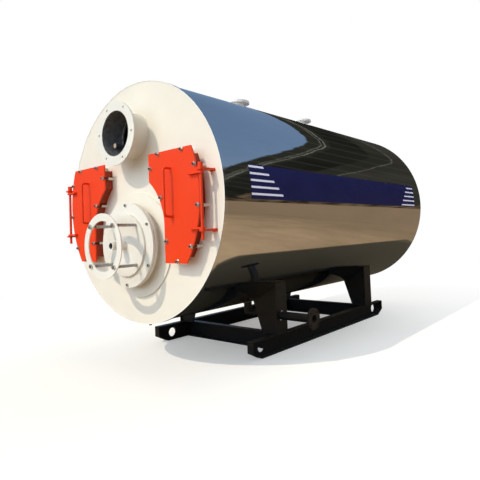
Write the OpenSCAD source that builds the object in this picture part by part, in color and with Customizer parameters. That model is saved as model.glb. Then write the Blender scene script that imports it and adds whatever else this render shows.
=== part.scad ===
// Horizontal fire-tube hot-water boiler on a channel skid.
// Millimetres, +Z up, ground at z = 0, origin at the bottom centre of the whole part.
// The front plate faces -Y, and the drain stands out on the +X side.

/* [Body] */
// Radius of the front plate with its trim
plate_r = 1000; // [940:1:1060]
// Height of the front plate's lowest point over the ground
belly_h = 368; // [330:1:420]
// Thickness of the front plate
plate_t = 16; // [10:1:24]
// Length from the front plate's face to the rear end of the jacket
body_len = 3822; // [3400:1:4200]
// Step from the front plate's edge in to the jacket
jacket_in = 11; // [8:1:20]
// Thickness of the jacket sheet
jacket_t = 4; // [2:0.5:6]
// Thickness of the insulation between jacket and pressure shell
insul_t = 80; // [60:1:100]
// Thickness of the pressure shell
shell_t = 12; // [8:1:16]
// Width of the edge trim on the front plate
trim_t = 5; // [3:0.5:8]
// Reach of the edge trim along the body
trim_w = 34; // [24:1:50]
// Depth of the rear plate inside the jacket's rear end
rear_recess = 18; // [10:1:30]
// Thickness of the rear plate
rear_t = 14; // [10:1:20]

/* [Smoke side] */
// Depth of the smoke box between the front plate and the tube plate
smoke_box = 190; // [150:1:240]
// Thickness of the tube plate
tube_plate_t = 14; // [10:1:20]
// Outer radius of a smoke tube
tube_r = 28.5; // [25:0.5:32]
// Wall of a smoke tube
tube_wall = 3.5; // [3:0.5:4.5]
// Distance between neighbouring smoke tubes
tube_pitch = 84; // [80:1:92]
// How far a smoke tube stands out of the tube plate
tube_out = 5; // [3:1:8]
// Depth of the upper tube bank's lowest row under the flue's centre
bank_drop = 192; // [180:1:210]
// Distance of a side tube bank's first column from the centre plane
side_x = 430; // [420:1:450]
// Height of a side tube bank's first row over the axis
side_z = 240; // [220:1:260]
// Room between a tube's centre and the shell's inside
shell_room = 80; // [60:1:100]
// Room between a tube's centre and the furnace tube
furnace_room = 70; // [60:1:90]
// Outer radius of the furnace tube
furnace_r = 300; // [290:1:310]
// Wall of the furnace tube
furnace_t = 12; // [8:1:14]
// Distance of the furnace tube's rear end from the rear plate
furnace_end = 300; // [250:1:400]

/* [Flue] */
// Distance of the flue's centre from the front plate's top edge
flue_edge = 448; // [420:1:480]
// Inner radius of the flue neck
flue_ri = 181; // [160:1:190]
// Wall of the flue neck
flue_wall = 5; // [3:0.5:8]
// Distance from the front plate to the flue flange's face
flue_len = 197; // [160:1:230]
// Width of the flue flange round the neck
flue_fl_w = 72; // [66:1:80]
// Thickness of the flue flange
flue_fl_t = 12; // [8:1:16]
// Distance of the flue flange's bolt circle from its edge
flue_bolt_in = 32; // [24:1:36]
// Radius of a flue flange hole
flue_hole_r = 11; // [7:0.5:13]
// Turn of the flue flange's holes, clockwise seen from the front
flue_turn = 4; // [0:1:30]

/* [Burner port] */
// Height of the burner port's centre over the front plate's lowest point
burner_edge = 651; // [630:1:670]
// Outer radius of the burner neck
neck_r = 302; // [295:1:308]
// Wall of the burner neck
neck_wall = 10; // [8:1:12]
// Width of the thin pad round the burner neck
pad_w = 128; // [110:1:136]
// Thickness of the pad
pad_t = 12; // [8:1:16]
// Width of the neck's flange
neck_fl_w = 41; // [36:1:48]
// Thickness of the neck's flange
neck_fl_t = 20; // [14:1:24]
// Thickness of the gasket between flange and cover
gasket_t = 3; // [2:0.5:5]
// Thickness of the cover
cover_t = 18; // [12:1:22]
// Distance from the front plate to the cover's front face
cover_y = 115; // [105:1:130]
// Distance of the cover's bolt circle from its edge
cover_bolt_in = 22; // [18:1:24]
// Distance of the raised disc's edge from the cover's edge
disc_in = 91; // [84:1:98]
// Thickness of the raised disc
disc_t = 18; // [14:1:24]
// Outer radius of the sight tube
sight_r = 33; // [28:0.5:38]
// Bore radius of the sight tube
sight_ri = 23; // [16:0.5:26]
// Length of the sight tube in front of the disc
sight_len = 129; // [90:1:150]
// Distance from the front plate to the adapter ring's front face
ring_y = 338; // [310:1:360]
// Inner radius of the adapter ring
ring_ri = 197; // [190:1:204]
// Width of the adapter ring
ring_w = 59; // [54:1:66]
// Distance of a rod's middle from the adapter ring's inner edge
rod_in = 25; // [22:0.5:32]
// Thickness of the adapter ring
ring_t = 8; // [6:1:14]
// Radius of a rod
rod_r = 12; // [9:0.5:13]

/* [Doors] */
// Distance of a door's outer edge from the front plate's edge
door_edge = 142; // [136:1:150]
// Height of a door's top edge over the axis
door_top = 345; // [325:1:355]
// Depth of a door's bottom edge under the axis
door_bot = 490; // [470:1:505]
// Distance of a door's upper inner edge from the centre plane
door_in_up = 306; // [300:1:320]
// Distance of a door's lower inner edge from the centre plane
door_in_low = 473; // [465:1:480]
// Radius of the curve in a door's inner edge
door_arc_r = 446; // [430:1:455]
// Depth of that curve's centre under the axis
door_arc_z = 220; // [210:1:230]
// Distance from the front plate to a cover's front face
door_y = 107; // [100:1:115]
// Thickness of a door's cover plate
door_t = 12; // [8:1:14]
// Distance of the frame from the cover's edge
frame_in = 44; // [40:1:50]
// Distance of the frame from the cover's hinge edge
frame_hinge_in = 55; // [54:1:60]
// Wall of the frame
frame_t = 10; // [8:1:12]
// Distance of a door bolt's centre from the cover's edge
bolt_in = 15; // [13:0.5:18]
// Distance of a door bolt's centre from the cover's inner edge
bolt_in_deep = 24; // [20:0.5:28]
// Radius of a door bolt's shank
bolt_r = 8; // [6:0.5:9]
// Length of a door bolt's shank behind the cover
bolt_back = 40; // [30:1:44]
// Radius of a pillar on the front plate
pillar_r = 11; // [9:0.5:13]
// Distance of a grab handle from the centre plane
handle_x = 560; // [540:1:600]
// Height of a grab handle's middle over the axis
handle_z = 30; // [0:1:60]
// Length of a grab handle
handle_len = 372; // [300:1:420]
// Stand-off of a grab handle in front of the cover
handle_off = 76; // [60:1:90]
// Radius of a grab handle's bar
handle_r = 9; // [7:0.5:11]

/* [Hinges] */
// Distance of a hinge rod from the front plate's edge
hinge_edge = 117; // [108:1:118]
// Distance of a hinge rod in front of the front plate
hinge_y = 112; // [108:1:116]
// Radius of a hinge rod
pin_r = 11; // [9:0.5:12]
// Height of a hinge rod's top over the axis
pin_top = 211; // [200:1:220]
// Depth of a hinge rod's lower end under the axis
pin_bot = 325; // [300:1:335]
// Height of the upper plate lug over the axis
lug_up = 165; // [155:1:175]
// Depth of the lower plate lug under the axis
lug_low = 259; // [245:1:265]
// Thickness of a lug
lug_t = 14; // [10:1:16]
// Radius of a lug's eye
lug_r = 24; // [22:1:26]
// Distance of a plate lug's rounded end beyond the rod
lug_over = 8; // [4:1:9]
// Reach of a door lug's arm over the cover
lug_arm = 114; // [90:1:130]
// Gap between a door lug's bore and the rod
pin_gap = 0.5; // [0.3:0.1:0.8]
// Gap between the lower lugs
lug_gap = 1; // [0.5:0.5:3]
// Drop of the upper door lug under the upper plate lug
lug_drop = 10; // [6:1:14]

/* [Top nozzles] */
// Distance of the front nozzle behind the front plate
noz_front = 1334; // [1200:1:1450]
// Distance of the rear nozzle from the jacket's rear end
noz_rear = 1270; // [1150:1:1350]
// Bore radius of a nozzle
noz_ri = 66; // [60:0.5:68]
// Wall of a nozzle neck
noz_wall = 4; // [3:0.5:6]
// Radius of a nozzle flange
noz_fl_r = 125; // [120:1:130]
// Thickness of a nozzle flange
noz_fl_t = 22; // [18:1:26]
// Height of a nozzle flange's face over the front plate's top edge
noz_rise = 101; // [90:1:140]
// Distance of a nozzle flange's bolt circle from its edge
noz_bolt_in = 20; // [18:0.5:22]
// Radius of a nozzle flange hole
noz_hole_r = 9; // [7:0.5:10]
// Width of the step round a nozzle flange's raised face
noz_face_in = 31; // [28:1:34]

/* [Drain] */
// Depth of the drain pipe under the front plate's lowest point
drain_under = 50; // [44:1:60]
// Bore radius of the drain pipe
drain_ri = 34; // [30:0.5:36]
// Wall of the drain pipe
drain_wall = 4; // [3:0.5:6]
// Distance of the drain flange's face from the front plate's side edge
drain_back = 8; // [0:1:40]
// Radius of the drain flange
drain_fl_r = 92.5; // [88:0.5:96]
// Thickness of the drain flange
drain_fl_t = 20; // [16:1:24]
// Distance of the drain flange's bolt circle from its edge
drain_bolt_in = 20; // [18:0.5:22]
// Radius of a drain flange hole
drain_hole_r = 9; // [7:0.5:10]
// Distance of the drain's foot on the shell from the centre plane
drain_in = 250; // [200:1:300]
// Distance of the condensate nipple behind the front plate
nipple_y = 100; // [70:1:150]
// Length of the condensate nipple under the jacket
nipple_len = 40; // [30:1:60]
// Outer radius of the condensate nipple
nipple_r = 13; // [10:0.5:17]

/* [Skid] */
// Half of the width over the runners
skid_w = 650; // [620:1:680]
// Height of a channel
chan_h = 160; // [150:1:170]
// Width of a channel's flanges
chan_w = 65; // [60:1:75]
// Thickness of a channel's web
web_t = 8.5; // [6:0.5:10]
// Thickness of a channel's flanges
fl_t = 10; // [8:0.5:12]
// Distance of the runners' front end behind the front plate
run_front = 652; // [560:1:720]
// Distance of the runners' rear end from the jacket's rear end
run_rear = 612; // [560:1:700]
// Length of the bevel under a runner's nose
nose_len = 120; // [80:1:140]
// Height of a runner's blunt end
nose_h = 100; // [80:1:120]
// Distance of the front tow hole from the runner's end
tow_in_f = 172; // [150:1:220]
// Distance of the rear tow hole from the runner's end
tow_in_r = 147; // [125:1:200]
// Radius of a tow hole
tow_r = 44; // [30:1:46]
// Set-back of the front cross beam behind the front saddle's face
beam_in_f = 47; // [30:1:60]
// Set-back of the rear cross beam behind the rear saddle's face
beam_in_r = 30; // [20:1:60]

/* [Saddles] */
// Distance of the front saddle behind the front plate
sad_front = 995; // [960:1:1040]
// Distance of the rear saddle from the jacket's rear end
sad_rear = 1062; // [1000:1:1120]
// Width of a leg's side plate
sad_w = 162; // [150:1:180]
// Thickness of a saddle's plates
sad_t = 12; // [8:1:16]
// Set-back of a leg's cross plate in its side plate
sad_in = 18; // [12:1:30]
// Width of a leg's foot
foot_w = 185; // [150:1:200]
// Width of a leg at its top
leg_w = 282; // [250:1:300]

/* [Banner] */
// Distance of the banner behind the front plate
ban_front = 303; // [250:1:400]
// Distance of the banner's rear edge from the jacket's rear end
ban_rear = 232; // [180:1:400]
// Height of the banner's upper edge over the axis
ban_up = 227; // [150:1:260]
// Depth of the banner's lower edge under the axis
ban_low = 38; // [0:1:80]
// Thickness of the banner
ban_t = 2; // [1:0.5:3]

/* [Rear cover] */
// Radius of the rear access cover
acc_r = 240; // [220:1:260]
// Thickness of the rear access cover
acc_t = 16; // [12:1:20]
// Reach of the rear access neck behind the rear plate
acc_len = 60; // [50:1:90]
// Width of the rear access neck's flange
acc_fl_w = 60; // [50:1:70]
// Wall of the rear access neck
acc_wall = 8; // [6:1:12]
// Thickness of the rear access neck's flange
acc_fl_t = 14; // [10:1:20]

/* [Hidden] */
$fn = 96;
seat = 0.2;
cut = 1;
// body
axis_h = plate_r + belly_h;
rim_r = plate_r - trim_t;
jacket_r = plate_r - jacket_in;
jacket_ri = jacket_r - jacket_t;
shell_r = jacket_ri - insul_t;
shell_ri = shell_r - shell_t;
tube_face = plate_t + smoke_box;
rear_face = body_len - rear_recess;
// flue
flue_z = plate_r - flue_edge;
flue_fl_r = flue_ri + flue_wall + flue_fl_w;
flue_bolt_r = flue_fl_r - flue_bolt_in;
// burner port
burner_drop = plate_r - burner_edge;
pad_r = neck_r + pad_w;
cover_r = neck_r + neck_fl_w;
cover_bolt_r = cover_r - cover_bolt_in;
disc_r = cover_r - disc_in;
cover_back = cover_y - cover_t;
neck_len = cover_back - gasket_t;
disc_face = cover_y + disc_t;
sight_y = disc_face + sight_len;
ring_ro = ring_ri + ring_w;
rod_circle_r = ring_ri + rod_in;
rod_nut_h = 14;
rod_nut_r = rod_r * 1.6;
front_reach = ring_y + rod_nut_h + 6;
// doors
door_r = plate_r - door_edge;
door_back = door_y - door_t;
arc_over = 1.5;
arc_x = door_in_low + arc_over - door_arc_r;
pillar_len = door_back - bolt_back - 0.4;
hinge_x = plate_r - hinge_edge;
pin_head_r = pin_r + 8;
// pipes
noz_r = noz_ri + noz_wall;
noz_z = plate_r + noz_rise;
noz_y1 = noz_front;
noz_y2 = body_len - noz_rear;
drain_r = drain_ri + drain_wall;
drain_z = plate_r + drain_under;
drain_x = plate_r - drain_back;
drain_bolt_r = drain_fl_r - drain_bolt_in;
// skid and saddles
run_top = chan_h - axis_h;
run_y1 = run_front;
run_y2 = body_len - run_rear;
sad_y1 = sad_front;
sad_y2 = body_len - sad_rear;
beam_y1 = sad_y1 + beam_in_f;
beam_y2 = sad_y2 + beam_in_r;
leg_foot = skid_w - foot_w;
leg_top = skid_w - leg_w;
drain_y = sad_y1 + sad_w / 2;
pipe_room = 6;
acc_ri = acc_r - acc_fl_w;
// whole part
rear_reach = rear_face + acc_len + acc_t;
y_front = (front_reach - rear_reach) / 2;

module frame_at() {
  translate([0, y_front, axis_h])
    children();
}

// A solid round bar along Y, from y1 to y2 behind the front plate's face.
module rod_y(r, y1, y2) {
  translate([0, y1, 0])
    rotate([-90, 0, 0])
      cylinder(r = r, h = y2 - y1);
}

module tube_y(ro, ri, y1, y2) {
  difference() {
    rod_y(ro, y1, y2);
    rod_y(ri, y1 - cut, y2 + cut);
  }
}

module rod_z(r, z1, z2) {
  translate([0, 0, z1])
    cylinder(r = r, h = z2 - z1);
}

module rod_x(r, x1, x2) {
  translate([x1, 0, 0])
    rotate([0, 90, 0])
      cylinder(r = r, h = x2 - x1);
}

module box(x1, x2, y1, y2, z1, z2) {
  translate([x1, y1, z1])
    cube([x2 - x1, y2 - y1, z2 - z1]);
}

module mirrored(side) {
  if (side < 0)
    mirror([1, 0, 0])
      children();
  else
    children();
}

module burner_at() {
  translate([0, 0, -burner_drop])
    children();
}

module flue_at() {
  translate([0, 0, flue_z])
    children();
}

module hex_y(r, y1, y2) {
  translate([0, y1, 0])
    rotate([-90, 0, 0])
      cylinder(r = r, h = y2 - y1, $fn = 6);
}

// Body pieces
module jacket() {
  color([0.8, 0.81, 0.82])
    frame_at()
      difference() {
        tube_y(jacket_r, jacket_ri, plate_t, body_len);
        for (y = [noz_y1, noz_y2])
          translate([0, y, 0])
            rod_z(noz_r + pipe_room, shell_r, plate_r);
        translate([drain_in, drain_y, 0])
          rod_z(drain_r + pipe_room, -plate_r, -shell_ri * cos(asin(drain_in / shell_ri)));
        translate([0, nipple_y, 0])
          rod_z(nipple_r + pipe_room, -plate_r, -shell_r);
      }
}

module pressure_shell() {
  color([0.35, 0.34, 0.33])
    frame_at()
      difference() {
        tube_y(shell_r, shell_ri, plate_t, rear_face - rear_t);
        for (y = [noz_y1, noz_y2])
          translate([0, y, 0])
            rod_z(noz_ri, shell_ri / 2, plate_r);
      }
}

module door_hole(side) {
  mirrored(side)
    door_profile(frame_in + frame_t, frame_hinge_in + frame_t, -cut, plate_t + cut);
}

module front_plate() {
  color([0.93, 0.9, 0.8])
    frame_at()
      difference() {
        rod_y(rim_r, 0, plate_t);
        door_hole(1);
        door_hole(-1);
        flue_at()
          rod_y(flue_ri, -cut, plate_t + cut);
        burner_at()
          rod_y(neck_r - neck_wall, -cut, plate_t + cut);
      }
}

module front_trim() {
  color([0.85, 0.85, 0.86])
    frame_at()
      tube_y(plate_r, rim_r, -3, trim_w - 3);
}

module rear_plate() {
  color([0.93, 0.9, 0.8])
    frame_at()
      difference() {
        rod_y(jacket_ri - seat, rear_face - rear_t, rear_face);
        rod_y(acc_ri, rear_face - rear_t - cut, rear_face + cut);
      }
}

// Tube centres: an upper bank behind the flue, and a bank at each side of the furnace tube.
function side_spot(i, j) = [side_x + i * tube_pitch, side_z - j * tube_pitch];
function tube_spots() = concat(
  [for (i = [-3 : 3]) for (j = [0 : 3])
    if (abs(i) + j < 6) [i * tube_pitch, flue_z - bank_drop + j * tube_pitch]],
  [for (s = [-1, 1]) for (i = [0 : 3]) for (j = [0 : 6])
    if (norm(side_spot(i, j)) < shell_ri - shell_room
      && norm(side_spot(i, j) + [0, burner_drop]) > furnace_r + furnace_room)
      [s * side_spot(i, j)[0], side_spot(i, j)[1]]]);

module tube_plate() {
  color([0.3, 0.29, 0.28])
    frame_at()
      difference() {
        rod_y(shell_ri - seat, tube_face, tube_face + tube_plate_t);
        for (p = tube_spots())
          translate([p[0], 0, p[1]])
            rod_y(tube_r + seat, tube_face - cut, tube_face + tube_plate_t + cut);
        burner_at()
          rod_y(furnace_r + seat, tube_face - cut, tube_face + tube_plate_t + cut);
      }
}

module smoke_tubes() {
  color([0.34, 0.32, 0.3])
    frame_at()
      for (p = tube_spots())
        translate([p[0], 0, p[1]])
          tube_y(tube_r, tube_r - tube_wall, tube_face - tube_out, rear_face - rear_t);
}

module furnace_tube() {
  color([0.34, 0.32, 0.3])
    frame_at()
      burner_at()
        tube_y(furnace_r, furnace_r - furnace_t, plate_t, rear_face - rear_t - furnace_end);
}

module rear_neck() {
  color([0.93, 0.9, 0.8])
    frame_at()
      union() {
        tube_y(acc_ri + acc_wall, acc_ri, rear_face, rear_face + acc_len);
        tube_y(acc_r, acc_ri, rear_face + acc_len - acc_fl_t, rear_face + acc_len);
      }
}

module rear_cover() {
  color([0.93, 0.9, 0.8])
    frame_at()
      rod_y(acc_r, rear_face + acc_len, rear_face + acc_len + acc_t);
}

// Flue pieces
module flue_neck() {
  color([0.93, 0.9, 0.8])
    frame_at()
      flue_at()
        tube_y(flue_ri + flue_wall, flue_ri, -flue_len, 0);
}

module flue_flange() {
  color([0.93, 0.9, 0.8])
    frame_at()
      flue_at()
        difference() {
          tube_y(flue_fl_r, flue_ri + flue_wall + seat, -flue_len, -flue_len + flue_fl_t);
          for (a = [flue_turn : 60 : flue_turn + 300])
            rotate([0, a, 0])
              translate([flue_bolt_r, 0, 0])
                rod_y(flue_hole_r, -flue_len - cut, -flue_len + flue_fl_t + cut);
        }
}

// Burner port pieces
module burner_pad() {
  color([0.93, 0.9, 0.8])
    frame_at()
      burner_at()
        tube_y(pad_r, neck_r + seat, -pad_t, 0);
}

module burner_neck() {
  color([0.93, 0.9, 0.8])
    frame_at()
      burner_at()
        union() {
          tube_y(neck_r, neck_r - neck_wall, -neck_len, 0);
          tube_y(cover_r, neck_r - neck_wall, -neck_len, -neck_len + neck_fl_t);
        }
}

module burner_gasket() {
  color([0.8, 0.55, 0.5])
    frame_at()
      burner_at()
        tube_y(cover_r - 1, neck_r - neck_wall, -cover_back, -neck_len);
}

module burner_cover() {
  color([0.93, 0.9, 0.8])
    frame_at()
      burner_at()
        rod_y(cover_r, -cover_y, -cover_back);
}

module burner_bolts() {
  color([0.75, 0.75, 0.74])
    frame_at()
      burner_at()
        for (a = [30 : 60 : 330])
          rotate([0, a, 0])
            translate([cover_bolt_r, 0, 0])
              hex_y(13, -cover_y - 10, -cover_y);
}

module burner_disc() {
  color([0.93, 0.9, 0.8])
    frame_at()
      burner_at()
        difference() {
          rod_y(disc_r, -disc_face, -cover_y);
          rod_y(sight_ri, -disc_face - cut, -cover_y - 2);
        }
}

module sight_tube() {
  color([0.93, 0.9, 0.8])
    frame_at()
      burner_at()
        tube_y(sight_r, sight_ri, -sight_y, -disc_face);
}

module adapter_ring() {
  color([0.93, 0.9, 0.8])
    frame_at()
      burner_at()
        difference() {
          tube_y(ring_ro, ring_ri, -ring_y, -ring_y + ring_t);
          for (a = [45 : 90 : 315])
            rotate([0, a, 0])
              translate([rod_circle_r, 0, 0])
                rod_y(rod_r + 0.5, -ring_y - cut, -ring_y + ring_t + cut);
        }
}

module ring_rods() {
  color([0.7, 0.7, 0.69])
    frame_at()
      burner_at()
        for (a = [45 : 90 : 315])
          rotate([0, a, 0])
            translate([rod_circle_r, 0, 0]) {
              rod_y(rod_r, -front_reach, -disc_face);
              hex_y(rod_nut_r, -ring_y - rod_nut_h, -ring_y);
              hex_y(rod_nut_r, -ring_y + ring_t, -ring_y + ring_t + rod_nut_h);
            }
}

// Door pieces
// The door's outline, drawn in by e at the edges and by eh at the hinge edge.
module door_profile(e, eh, y1, y2) {
  difference() {
    intersection() {
      rod_y(door_r - eh, y1, y2);
      box(door_in_up + e, plate_r, y1 - cut, y2 + cut, -door_bot + e, door_top - e);
    }
    // the hollow towards the burner port: a curve above and a straight edge below
    intersection() {
      union() {
        translate([arc_x, 0, -door_arc_z])
          rod_y(door_arc_r + e, y1 - cut, y2 + cut);
        box(-50, door_in_low + e + 20, y1 - cut, y2 + cut, -plate_r, -door_arc_z);
      }
      box(-100, door_in_low + e, y1 - 2 * cut, y2 + 2 * cut, -plate_r - 100, plate_r);
    }
  }
}

// Door bolts: position and the direction towards the nearest edge.
function edge_spot(a) = [(door_r - bolt_in) * cos(a), (door_r - bolt_in) * sin(a), a];
function arc_spot(a) = [arc_x + (door_arc_r + bolt_in_deep) * cos(a),
  -door_arc_z + (door_arc_r + bolt_in_deep) * sin(a), a + 180];
// A place on the top or bottom edge, as a share of its length from the inner corner.
function along(x_in, z, share) = x_in + share * (sqrt(door_r * door_r - z * z) - x_in);
door_spots = [
  [along(door_in_up, door_top, 0.24), door_top - bolt_in, 90],
  [along(door_in_up, door_top, 0.8), door_top - bolt_in, 90],
  [door_in_up + bolt_in_deep, door_top * 0.67, 180],
  arc_spot(28),
  [door_in_low + bolt_in_deep, -door_bot * 0.67, 180],
  [along(door_in_low, door_bot, 0.59), -door_bot + bolt_in, 270],
  edge_spot(14.2),
  edge_spot(-5.5),
  edge_spot(-25.9)];

module notch(y1, y2) {
  r = bolt_r + 2.5;
  rod_y(r, y1, y2);
  box(0, bolt_in_deep + 20, y1, y2, -r, r);
}

module cover_plate() {
  difference() {
    door_profile(0, 0, -door_y, -door_back);
    for (p = door_spots)
      translate([p[0], 0, p[1]])
        rotate([0, -p[2], 0])
          notch(-door_y - cut, -door_back + cut);
  }
}

module left_cover() {
  color([0.9, 0.3, 0.12])
    frame_at()
      mirrored(-1)
        cover_plate();
}

module right_cover() {
  color([0.9, 0.3, 0.12])
    frame_at()
      mirrored(1)
        cover_plate();
}

module door_frame() {
  difference() {
    door_profile(frame_in, frame_hinge_in, -door_back + 3, 0);
    door_profile(frame_in + frame_t, frame_hinge_in + frame_t, -door_back, 0 + cut);
  }
}

module left_frame() {
  color([0.9, 0.3, 0.12])
    frame_at()
      mirrored(-1)
        door_frame();
}

module right_frame() {
  color([0.9, 0.3, 0.12])
    frame_at()
      mirrored(1)
        door_frame();
}

module bolt_set() {
  for (p = door_spots)
    translate([p[0], 0, p[1]]) {
      rod_y(bolt_r, -door_y - 22, -door_back + bolt_back);
      rod_y(17, -door_y - 3, -door_y);
      hex_y(14, -door_y - 16, -door_y - 3);
    }
}

module left_bolts() {
  color([0.2, 0.2, 0.2])
    frame_at()
      mirrored(-1)
        bolt_set();
}

module right_bolts() {
  color([0.2, 0.2, 0.2])
    frame_at()
      mirrored(1)
        bolt_set();
}

module clamp_pillars() {
  color([0.93, 0.9, 0.8])
    frame_at()
      for (s = [-1, 1])
        mirrored(s)
          for (p = door_spots)
            translate([p[0], 0, p[1]])
              rod_y(pillar_r, -pillar_len, 0);
}

module grab_handle() {
  bend = 26;
  z1 = handle_z - handle_len / 2 + handle_r;
  z2 = handle_z + handle_len / 2 - handle_r;
  yh = -door_y - handle_off + handle_r;
  translate([handle_x, 0, 0]) {
    translate([0, yh, 0])
      rod_z(handle_r, z1 + bend, z2 - bend);
    for (z = [z1, z2])
      translate([0, 0, z])
        rod_y(handle_r, yh + bend, -door_y);
    translate([0, yh + bend, z2 - bend])
      rotate([0, -90, 0])
        rotate_extrude(angle = -90)
          translate([bend, 0])
            circle(r = handle_r);
    translate([0, yh + bend, z1 + bend])
      rotate([0, 90, 0])
        rotate_extrude(angle = -90)
          translate([bend, 0])
            circle(r = handle_r);
  }
}

module left_handle() {
  color([0.9, 0.3, 0.12])
    frame_at()
      mirrored(-1)
        grab_handle();
}

module right_handle() {
  color([0.9, 0.3, 0.12])
    frame_at()
      mirrored(1)
        grab_handle();
}

// A door lug: an eye round the rod and an arm that lies on the cover's front.
module door_lug(z) {
  translate([0, 0, z - lug_t / 2])
    difference() {
      union() {
        translate([hinge_x, -hinge_y, 0])
          rod_z(lug_r, 0, lug_t);
        box(hinge_x - lug_arm, hinge_x, -hinge_y - lug_r, -door_y, 0, lug_t);
      }
      translate([hinge_x, -hinge_y, 0])
        rod_z(pin_r + pin_gap, -cut, lug_t + cut);
    }
}

module lug_set() {
  door_lug(lug_up - lug_t - lug_drop);
  door_lug(-lug_low + lug_t + lug_gap);
}

module left_lugs() {
  color([0.9, 0.3, 0.12])
    frame_at()
      mirrored(-1)
        lug_set();
}

module right_lugs() {
  color([0.9, 0.3, 0.12])
    frame_at()
      mirrored(1)
        lug_set();
}

module hinge_rods() {
  color([0.9, 0.3, 0.12])
    frame_at()
      for (s = [-1, 1])
        mirrored(s)
          translate([hinge_x, -hinge_y, 0]) {
            rod_z(pin_r, -pin_bot, pin_top);
            // the head on the upper plate lug and a collar under it
            rod_z(pin_head_r, lug_up + lug_t / 2, pin_top);
            rod_z(pin_head_r, lug_up - lug_t / 2 - lug_drop + lug_gap, lug_up - lug_t / 2);
          }
}

module plate_lug(z) {
  translate([0, 0, z - lug_t / 2])
    difference() {
      union() {
        translate([hinge_x + lug_over, -hinge_y - lug_over, 0])
          rod_z(lug_r, 0, lug_t);
        box(hinge_x + lug_over - lug_r, hinge_x + lug_over + lug_r, -hinge_y - lug_over, 0, 0, lug_t);
      }
      translate([hinge_x, -hinge_y, 0])
        rod_z(pin_r + 0.1, -cut, lug_t + cut);
    }
}

module hinge_brackets() {
  color([0.9, 0.3, 0.12])
    frame_at()
      for (s = [-1, 1])
        mirrored(s) {
          plate_lug(lug_up);
          plate_lug(-lug_low);
        }
}

// Top nozzle pieces
module nozzle(y) {
  translate([0, y, 0])
    difference() {
      union() {
        difference() {
          rod_z(noz_r, shell_r / 2, noz_z);
          translate([0, -y, 0])
            rod_y(shell_r + seat, y - 2 * noz_r, y + 2 * noz_r);
        }
        rod_z(noz_fl_r, noz_z - noz_fl_t, noz_z);
        translate([0, 0, noz_z])
          cylinder(r = noz_fl_r - noz_face_in, h = 2);
      }
      rod_z(noz_ri, shell_ri / 2, noz_z + 5);
      for (a = [22.5 : 45 : 337.5])
        rotate([0, 0, a])
          translate([noz_fl_r - noz_bolt_in, 0, 0])
            rod_z(noz_hole_r, noz_z - noz_fl_t - cut, noz_z + 5);
    }
}

module front_nozzle() {
  color([0.93, 0.93, 0.9])
    frame_at()
      nozzle(noz_y1);
}

module rear_nozzle() {
  color([0.93, 0.93, 0.9])
    frame_at()
      nozzle(noz_y2);
}

// Drain pieces
module drain_pipe() {
  color([0.12, 0.12, 0.12])
    frame_at()
      translate([0, drain_y, 0])
        difference() {
          union() {
            translate([0, 0, -drain_z])
              rod_x(drain_r, drain_in, drain_x);
            translate([drain_in, 0, 0])
              rod_z(drain_r, -drain_z, -shell_r / 2);
            translate([drain_in, 0, -drain_z])
              sphere(r = drain_r);
            translate([0, 0, -drain_z])
              rod_x(drain_fl_r, drain_x - drain_fl_t, drain_x);
          }
          translate([0, -drain_y, 0])
            rod_y(shell_r + seat, drain_y - 2 * drain_r, drain_y + 2 * drain_r);
          translate([0, 0, -drain_z])
            rod_x(drain_ri, drain_in, drain_x + cut);
          translate([drain_in, 0, 0])
            rod_z(drain_ri, -drain_z, -shell_ri / 2);
          translate([0, 0, -drain_z])
            for (a = [45 : 90 : 315])
              rotate([a, 0, 0])
                translate([0, drain_bolt_r, 0])
                  rod_x(drain_hole_r, drain_x - drain_fl_t - cut, drain_x + cut);
        }
}

module condensate_nipple() {
  color([0.12, 0.12, 0.12])
    frame_at()
      translate([0, nipple_y, 0])
        difference() {
          rod_z(nipple_r, -jacket_r - nipple_len, -shell_r / 2);
          rod_z(nipple_r - 3, -jacket_r - nipple_len - cut, -shell_ri / 2);
          translate([0, -nipple_y, 0])
            rod_y(shell_r + seat, nipple_y - 2 * nipple_r, nipple_y + 2 * nipple_r);
        }
}

// Saddle pieces
module leg(y) {
  y2 = y + sad_w;
  top_z = -sqrt(jacket_r * jacket_r - leg_top * leg_top);
  difference() {
    union() {
      box(skid_w - sad_t, skid_w, y, y2, run_top, 0);
      box(leg_top, skid_w - sad_t + cut, y + sad_in, y + sad_in + sad_t, run_top, 0);
    }
    rod_y(jacket_r + seat, y - cut, y2 + cut);
    // the leg's slanting inner edge
    translate([leg_foot, y - cut, run_top])
      rotate([0, -atan2(leg_foot - leg_top, top_z - run_top), 0])
        translate([-skid_w, 0, -chan_h])
          cube([skid_w, sad_w + 2 * cut, jacket_r]);
    if (y == sad_y1)
      translate([0, drain_y, -drain_z])
        rod_x(drain_r + pipe_room, leg_foot, skid_w + cut);
  }
}

module saddle(y) {
  for (s = [-1, 1])
    mirrored(s)
      leg(y);
}

module front_saddle() {
  color([0.09, 0.09, 0.09])
    frame_at()
      saddle(sad_y1);
}

module rear_saddle() {
  color([0.09, 0.09, 0.09])
    frame_at()
      saddle(sad_y2);
}

// Skid pieces
module runner() {
  z1 = -axis_h;
  difference() {
    union() {
      box(skid_w - chan_w, skid_w - chan_w + web_t, run_y1, run_y2, z1, run_top);
      box(skid_w - chan_w, skid_w, run_y1, run_y2, run_top - fl_t, run_top);
      box(skid_w - chan_w, skid_w, run_y1, run_y2, z1, z1 + fl_t);
      for (y = [run_y1, run_y2 - fl_t])
        box(skid_w - chan_w, skid_w, y, y + fl_t, z1, run_top);
      nose_plate(run_y1, 1);
      nose_plate(run_y2, -1);
    }
    nose_cut(run_y1, 1);
    nose_cut(run_y2, -1);
    for (y = [run_y1 + tow_in_f, run_y2 - tow_in_r])
      translate([0, y, z1 + chan_h / 2])
        rod_x(tow_r, skid_w - chan_w - cut, skid_w - chan_w + web_t + cut);
  }
}

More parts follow.
